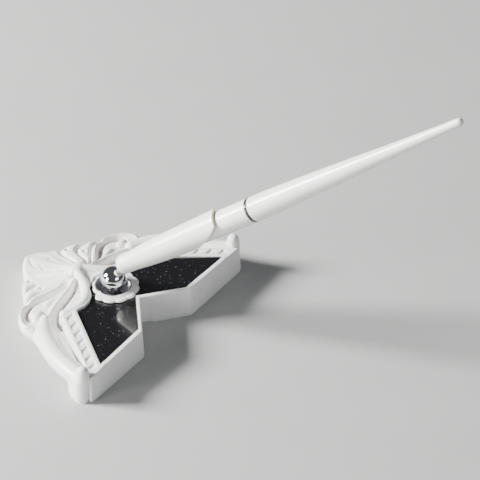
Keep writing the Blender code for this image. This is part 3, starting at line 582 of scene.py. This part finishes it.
def split_once(points, faces):
    """Every triangle cut into four, with the new points halfway along its edges."""
    faces = np.array(faces)
    ends = np.sort(np.concatenate([faces[:, [0, 1]], faces[:, [1, 2]], faces[:, [2, 0]]]), axis=1)
    edges, index = np.unique(ends, axis=0, return_inverse=True)
    index = index.reshape(3, -1) + len(points)
    middle = (points[edges[:, 0]] + points[edges[:, 1]]) / 2
    a, b, c = faces.T
    ab, bc, ca = index
    cut = np.concatenate([np.stack(t, axis=1) for t in ((a, ab, ca), (ab, b, bc), (ca, bc, c), (ab, bc, ca))])
    return np.concatenate([points, middle]), cut


def crisp_lines():
    """The edge of the stem's hole, and pairs of lines on either side of each sharp step in the surface."""
    lines = [circle(STEM_HOLE, 32)]
    for by in (PANEL_GAP - 0.05, PANEL_GAP + 0.05):
        recess = offset(mirrored(PANEL), by)
        lines.append(refined(recess, 0.9) + recess[:1])
    (x0, y0), (x1, y1) = PANEL_SIDE
    length = math.dist(*PANEL_SIDE)
    out = ((y1 - y0) / length, (x0 - x1) / length)
    for side in (1, -1):
        for by in LADDER_EDGES:
            ends = [(side * (x + out[0] * by), y + out[1] * by) for x, y in PANEL_SIDE]
            lines.append(refined(ends, 0.8, closed=False))
        for rung in range(RUNG_COUNT):
            for nudge in (-0.42, 0.0):
                y = RUNG_START + rung * RUNG_PITCH + nudge
                x = x0 + (x1 - x0) * (y - y0) / (y1 - y0)
                ends = [(side * (x + reach), y) for reach in (2.8, 6.3)]
                lines.append(refined(ends, 0.8, closed=False))
        for by in (-0.22, 0.22):
            wall = [(side * (x + by), y + 0.7 * by) for x, y in FRONT_PLATE[3:8]]
            lines.append(refined(wall, 0.8, closed=False))
    return lines


def base_surface():
    """The top of the base as a fine sheet of triangles: its points in plan, their heights and the faces."""
    outline = refined(mirrored(half_outline()), FINE * 2)
    flat, edges = list(outline), [(i, (i + 1) % len(outline)) for i in range(len(outline))]
    for line in crisp_lines():
        start = len(flat)
        flat += line
        edges += [(i, i + 1) for i in range(start, len(flat) - 1)]
    fixed = np.array(flat)
    loose = []
    for inset in (0.12, 0.3, 0.6, 1.1, 1.6):
        loose += refined(offset(outline, -inset), FINE * 2)
    on_rings = len(loose)
    rows = np.arange(-27.0, 46.0, FINE * 2 * 0.866)
    for row, y in enumerate(rows):
        loose += [(x, y) for x in np.arange(-55.0, 55.0, FINE * 2) + (row % 2) * FINE]
    x, y = np.array(loose).T
    inside = depth_inside(x, y, outline)
    keep = inside > np.where(np.arange(len(x)) < on_rings, 0.08, 1.9)
    spacing = np.full(len(x), 9.0)
    for start in range(0, len(fixed), 400):
        some = fixed[None, start:start + 400]
        gaps = np.hypot(x[:, None] - some[..., 0], y[:, None] - some[..., 1])
        spacing = np.minimum(spacing, gaps.min(axis=1))
    keep &= (spacing > 0.25) | (inside < 1.7)
    keep &= np.hypot(x, y) > STEM_HOLE
    flat = [Vector(p) for p in flat] + [Vector(p) for p in zip(x[keep], y[keep])]
    verts, _, triangles, _, _, _ = delaunay_2d_cdt(flat, edges, [], 1, 1e-4)
    verts = np.array([tuple(v) for v in verts])
    triangles = np.array(triangles)
    spots, faces = split_once(verts, triangles[np.hypot(*verts[triangles].mean(axis=1).T) > STEM_HOLE])
    return spots, top_height(*spots.T), faces


def tucked(x, y):
    """Where the side wall starts to curve under, how far it comes in, how tall the curve is, and how much
    deeper the foot stands below it."""
    x = np.abs(x)
    at_front, _ = line_distance(x, y, FRONT_EDGE)
    front = 1 - step(at_front, 0.5, 1.2)
    behind = step(y, -16.4, -15.4)
    side = behind * step(x, 25.5, 31.0)
    roll = side * (1 - step(y, 6.0, 11.0))
    tuck = (2.2 + 2.1 * side) * behind - DRAFT * front
    return 4.0 + 3.0 * side + roll, tuck, 4.0 + 0.5 * side, 2.9 * roll


def rim_of(faces, start):
    """The edge of a sheet of triangles that this point lies on, in order."""
    ends = np.concatenate([faces[:, [0, 1]], faces[:, [1, 2]], faces[:, [2, 0]]])
    keys = {(int(a), int(b)) for a, b in ends}
    ahead = {a: b for a, b in keys if (b, a) not in keys}
    edge = [int(start)]
    while ahead[edge[-1]] != edge[0]:
        edge.append(ahead[edge[-1]])
    return edge


def moved_in(loop, inset):
    """The loop moved inward by its own distance at each point."""
    points = np.array(loop)
    normal = np.array(offset(loop, 1.0)) - points
    normal /= np.linalg.norm(normal, axis=1)[:, None]
    return points - normal * inset[:, None]


def skirt(above, below):
    """Faces from one loop of points down to the next."""
    count = len(above)
    return [(above[i], below[i], below[(i + 1) % count], above[(i + 1) % count]) for i in range(count)]


def base_shell(white):
    """The top, the side walls down to a narrow flange at the foot, and the hole for the stem."""
    spots, z, faces = base_surface()
    away = np.hypot(*spots.T)
    edge, hole = rim_of(faces, away.argmax()), rim_of(faces, away.argmin())
    points = [(x, y, h) for (x, y), h in zip(spots.tolist(), z.tolist())]
    faces = [tuple(int(i) for i in f) for f in faces]
    loop = [tuple(spots[i]) for i in edge]
    tops = z[edge]
    wide, tuck, span, deep = tucked(*np.array(loop).T)
    above = edge
    for level in range(1, WALL_RINGS + 1):
        height = tops + (SEAM - tops) * level / WALL_RINGS
        under = np.clip((np.minimum(wide, tops) - height) / span, 0.0, 1.0)
        curve = np.where(tuck > 0, 1 - np.sqrt(1 - under**2), level / WALL_RINGS)
        ring = moved_in(loop, tuck * curve + deep * step(under, 0.86, 1.0))
        below = range(len(points), len(points) + len(edge))
        points += [(x, y, h) for (x, y), h in zip(ring.tolist(), height.tolist())]
        faces += skirt(above, below)
        above = below
    below = range(len(points), len(points) + len(edge))
    points += [(x, y, SEAM) for x, y in moved_in(loop, tuck * curve + deep + FLANGE).tolist()]
    faces += skirt(above, below)
    below = range(len(points), len(points) + len(hole))
    points += [(*points[i][:2], DECK_UNDER) for i in hole]
    faces += skirt(hole, below)
    shell = mesh_object("base_looks", points, faces, white, smooth=50)
    stands_for(shell, "base", "base_shell")


# ---------------------------------------------------------------- the swivel


def scalloped(radius, z, turn):
    """Twelve petals with creases between them, tucked in where the ribbons pass behind."""
    share = max(0.0, (radius - 7.9) / (ROSETTE_R - 7.9))
    wave = abs(math.cos(6 * turn + 0.4)) ** 0.5
    behind = min(1.0, max(0.0, (math.sin(turn) - 0.1) / 0.22))
    dip = 0.22 * share * (1 - wave) if z > PANEL_TOP + 0.6 else 0.0
    return radius - share * (0.95 * (1 - wave) + 2.0 * behind), z - dip


def rosette(white):
    low = PANEL_TOP + GAP
    petals = [(10.5, 0.12), (10.7, 0.4), (10.4, 0.85), (9.7, 1.02), (9.0, 1.0)]
    crown = [(9.0, 1.0), (8.3, 1.12), (7.9, 1.36), (7.6, 1.4), (7.4, 1.2)]
    upper = [(r, low + z) for r, z in softened(petals, 4) + softened(crown, 4)[1:]]
    profile = [(CUP_R + GAP, low), (10.2, low)] + upper
    stands_for(lathe("rosette_looks", profile, 288, white, 40, scalloped), "base", "rosette")


def swivel_cup(satin):
    foot = DECK_FLOOR + GAP
    dish = [
        (7.1, 13.8), (7.04, 13.96), (6.92, 14.0), (6.75, 13.9), (6.35, 13.35), (5.6, 12.7), (4.6, 12.25),
        (3.4, 11.95), (STEM_HOLE, 11.8),
    ]
    profile = [(STEM_HOLE, foot), (6.7, foot), (CUP_R, foot + 0.4)] + softened(dish, 5)
    stands_for(lathe("cup_looks", profile, 160, satin, 50), "base", "swivel_cup")


def upright_axes():
    """Local X along the pen's heading, Y across it and Z up."""
    across = Vector(pen_axes()[1])
    return tuple(across.cross(Vector((0, 0, 1)))), tuple(across), (0, 0, 1)


def stud_axes():
    """The axes of the short screw that joins ball and funnel, which stands steeper than the pen."""
    rise, across, along = pen_axes()
    lean = math.atan2(AXIS_RISE - 1.05, FUNNEL_FOOT + 3.0)
    axis = Vector(along) * math.cos(lean) + Vector(rise) * math.sin(lean)
    side = Vector(rise) * math.cos(lean) - Vector(along) * math.sin(lean)
    return tuple(side), across, tuple(axis)


def ball_cutters(chrome):
    """The slot over the tongue, the hole for the pin and the seat of the stud."""
    side = TONGUE_WIDE + GAP
    wide, tight = (math.degrees(math.asin(side / radius)) for radius in (6.5, 2.5))
    low, high = -90 - TILT_DOWN, -90 + TILT_UP
    fan = arc(6.5, low - wide, high + wide, 24)
    room = arc(2.5, high + tight, low - tight + 360, 40)
    heading, across, up = upright_axes()
    slot = prism("cut_slot", fan + room, -SLOT_HALF, SLOT_HALF, chrome)
    yield placed(slot, (0, 0, BALL_Z), (heading, up, tuple(-Vector(across))))
    pin = lathe("cut_pin", rod(-6.0, 4.0, PIN_R + GAP), 48, chrome)
    yield placed(pin, (0, 0, BALL_Z), (up, heading, across))
    yield placed(lathe("cut_stud", rod(3.0, 7.0, 1.3), 48, chrome), (0, 0, BALL_Z), stud_axes())


def carved(obj, cutters):
    """Cuts these shapes from the object for good and takes them out of the scene."""
    cutters = list(cutters)
    for cutter in cutters:
        modifier = obj.modifiers.new(cutter.name, "BOOLEAN")
        modifier.operation = "DIFFERENCE"
        modifier.solver = "EXACT"
        modifier.object = cutter
    bpy.context.view_layer.update()
    graph = bpy.context.evaluated_depsgraph_get()
    mesh = bpy.data.meshes.new_from_object(obj.evaluated_get(graph))
    obj.modifiers.clear()
    obj.data = mesh
    for cutter in cutters:
        bpy.data.objects.remove(cutter, do_unlink=True)
    return obj


def ball(chrome):
    profile = arc(BALL_R, -90, 90, 64)
    profile[0], profile[-1] = (0.0, -BALL_R), (0.0, BALL_R)
    sphere = lathe("ball_looks", profile, 128, chrome, 30)
    placed(sphere, (0, 0, BALL_Z), ((1, 0, 0), (0, 1, 0), (0, 0, 1)))
    carved(sphere, ball_cutters(chrome))
    stands_for(sphere, "holder", "ball")


# ---------------------------------------------------------------- funnel and pen


def mouth_at(turn):
    """How far the mouth is cut back on this side and how much narrower the funnel is there.

    It is longest near local +X, its upper side.
    """
    drop = min(LIP_DROP, LIP_SLANT * max(0.0, LIP_START - math.cos(turn - LIP_TURN)))
    return drop, 0.75 * drop / (FUNNEL_LIP - SLANT_START)


def slanted(radius, z, turn):
    """Cuts the mouth on a slant."""
    if z <= SLANT_START:
        return radius, z
    drop, narrower = mouth_at(turn)
    share = (z - SLANT_START) / (FUNNEL_LIP - SLANT_START)
    return radius - narrower * share, z - drop * share


def along_mouth(radius, z, turn):
    """Keeps a small section whole along the slanted mouth."""
    drop, narrower = mouth_at(turn)
    return radius - narrower, z - drop


def funnel(pearl):
    corner = [(1.05 + r, FUNNEL_FOOT + 3.0 + z) for r, z in arc(3.0, -90, 0, 16)]
    outside = [
        corner[-1], (4.1, 12.0), (4.3, 15.0), (4.9, 22.0), (5.4, 29.6), (5.65, 37.0), (5.75, 40.0),
        (6.1, 50.0), (6.43, FUNNEL_LIP - 0.4),
    ]
    lip = [(6.42, -0.12), (6.33, -0.03), (6.2, 0.0), (5.4, 0.0), (5.28, -0.1)]
    lip = [(r, FUNNEL_LIP + z) for r, z in lip]
    inside = [
        (5.28, FUNNEL_LIP - 0.3), (5.27, 50.0), (4.95, 40.0), (4.6, 30.0), (4.0, 22.0), (3.4, 15.0),
        (3.3, 11.0), (2.9, 9.3),
    ]
    profile = [(0.0, FUNNEL_FOOT)] + corner + softened(outside, 5)[1:] + lip + softened(inside, 4)[1:]
    profile += [(1.3, 8.4), (0.0, 8.4)]
    body = on_pen_axis(lathe("funnel_looks", profile, 144, pearl, 50, slanted))
    bore = [(0.0, 4.0), (1.25, 4.0), (1.25, 8.2), (1.9, 8.2), (1.9, 12.0), (0.0, 12.0)]
    carved(body, [placed(lathe("cut_funnel", bore, 48, pearl), (0, 0, BALL_Z), stud_axes())])
    stands_for(body, "holder", "funnel")


def mouth_line(cream):
    """The bare plastic of the mouth's cut edge, which shows as a thin cream line."""
    edge = [(6.3, -0.42), (6.48, -0.38), (6.47, -0.08), (6.36, 0.05), (5.9, 0.06), (5.85, 0.0), (5.85, -0.3)]
    profile = [(r, FUNNEL_LIP + z) for r, z in edge]
    line = on_pen_axis(lathe("mouth_line", profile, 144, cream, 50, along_mouth))
    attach(line, "holder")


def pen_grip(pearl):
    end = RING_AT - RING_HALF - GAP
    outside = [
        (2.9, 18.0), (3.2, 22.0), (3.9, 30.0), (4.6, 44.0), (5.0, 53.0), (5.08, 62.0), (5.12, end - 0.1),
    ]
    inside = [(5.04, end), (3.9, end), (3.9, 66.0), (2.0, 64.0), (2.0, 20.0), (2.3, 18.6)]
    body = on_pen_axis(lathe("grip_looks", [(2.6, 18.0)] + softened(outside, 5) + inside, 128, pearl))
    stands_for(body, "pen_front", "pen_grip")


def pen_ring(dark):
    low, high = RING_AT - RING_HALF, RING_AT + RING_HALF
    bead = [(5.0 + 0.2 * math.cos(t), RING_AT + RING_HALF * math.sin(t)) for t in np.linspace(-1.4, 1.4, 9)]
    body = on_pen_axis(lathe("ring_looks", [(3.9, low)] + bead + [(3.9, high)], 128, dark, 60))
    stands_for(body, "pen_front", "pen_ring")


def pen_tail(pearl):
    start = RING_AT + RING_HALF + GAP
    outside = [
        (5.12, start + 0.1), (5.15, 80.0), (5.05, 86.0), (4.85, 93.5), (4.5, 104.0), (4.1, 115.0),
        (3.6, 127.0), (3.05, 138.0), (2.65, 148.0), (2.25, 159.0), (1.9, 170.0), (TAIL_TIP_R, 176.0),
    ]
    nose = [(r, PEN_END - TAIL_TIP_R + z) for r, z in arc(TAIL_TIP_R, 0, 90, 14)]
    nose[-1] = (0.0, PEN_END)
    inside = [(0.0, 116.0), (1.9, 114.0), (2.3, 84.5), (3.9, 83.8), (3.9, start), (5.04, start)]
    body = on_pen_axis(lathe("tail_looks", softened(outside, 5) + nose[1:] + inside, 128, pearl, 50))
    stands_for(body, "pen_rear", "pen_tail")


def main():
    camera()
    white, pearl = white_plastic(), pearl_plastic()
    chrome = metal("chrome_bright", (0.85, 0.85, 0.87), (0.74, 0.74, 0.76), 0.03, 0.08)
    satin = metal("chrome_satin", (0.66, 0.66, 0.68), (0.60, 0.60, 0.62), 0.15, 0.20)
    steel = metal("steel_plain", (0.58, 0.58, 0.59), (0.45, 0.45, 0.46), 0.25, 0.4)
    brass = metal("brass_plain", (0.78, 0.60, 0.30), (0.62, 0.46, 0.22), 0.25, 0.4)
    kinds = {
        "white_plastic": white, "pearl_plastic": pearl, "glitter_inlay": glitter_black(),
        "chrome": chrome, "steel": steel, "brass": brass,
    }
    for entry in frame["record"]["subparts"]:
        node = frame["nodes"][entry["node"]]
        node.data.materials.clear()
        node.data.materials.append(kinds[entry["material_slot"]])
    base_shell(white)
    rosette(white)
    swivel_cup(satin)
    ball(chrome)
    funnel(pearl)
    mouth_line(cream_edge())
    pen_grip(pearl)
    # The ring is silver metal. Its colour is painted near-black to stand in for the dark reflection it would
    # show: painted reflection.
    pen_ring(metal("ring_painted_dark_reflection", (0.16, 0.16, 0.17), (0.10, 0.10, 0.11), 0.12, 0.22))
    pen_tail(pearl)
    studio()


# ---------------------------------------------------------------- camera, stage and light


def camera():
    data = bpy.data.cameras.new("view")
    data.lens = VIEW_LENS
    data.sensor_width = 36.0
    data.clip_start = 0.1
    data.clip_end = 20.0
    eye = bpy.data.objects.new("view", data)
    turn, tilt = math.radians(VIEW_TURN), math.radians(VIEW_TILT)
    back = Vector((math.sin(turn) * math.cos(tilt), -math.cos(turn) * math.cos(tilt), math.sin(tilt)))
    eye.location = Vector(VIEW_CENTRE) + back * VIEW_DISTANCE
    eye.rotation_euler = (-back).to_track_quat("-Z", "Y").to_euler()
    bpy.context.scene.collection.objects.link(eye)
    bpy.context.scene.camera = eye


def area_light(name, spot, size, power, colour):
    """A rectangular lamp that shines on the middle of the object."""
    data = bpy.data.lights.new(name, "AREA")
    data.shape = "RECTANGLE"
    data.size, data.size_y = size
    data.energy = power
    data.color = colour
    lamp = bpy.data.objects.new(name, data)
    lamp.location = spot
    lamp.rotation_euler = (-Vector(spot)).to_track_quat("-Z", "Y").to_euler()
    bpy.context.scene.collection.objects.link(lamp)


def studio():
    s = Shader("floor_paper", Specular_IOR_Level=0.3)
    s.into("Base Color", s.mixed(s.noise(30.0), (0.46, 0.46, 0.46, 1), (0.50, 0.50, 0.50, 1)))
    s.into("Roughness", s.ranged(s.noise(500.0), 0.3, 0.7, 0.6, 0.75))
    half = 3000.0
    corners = [(-half, -half, 0), (half, -half, 0), (half, half, 0), (-half, half, 0)]
    floor = mesh_object("floor", corners, [(0, 1, 2, 3)], s.material)
    area_light("key", (-0.60, 0.95, 0.62), (0.38, 0.38), 78.0, (1.0, 0.99, 0.97))
    area_light("side", (-1.1, 0.45, 0.30), (0.35, 0.6), 9.0, (1.0, 1.0, 1.0))
    area_light("fill", (-0.3, -1.1, 0.6), (0.6, 0.4), 4.0, (0.95, 0.97, 1.0))
    world = bpy.data.worlds.new("room")
    world.use_nodes = True
    sky = world.node_tree.nodes["Background"]
    sky.inputs["Color"].default_value = (0.75, 0.77, 0.80, 1)
    sky.inputs["Strength"].default_value = 0.12
    bpy.context.scene.world = world


main()
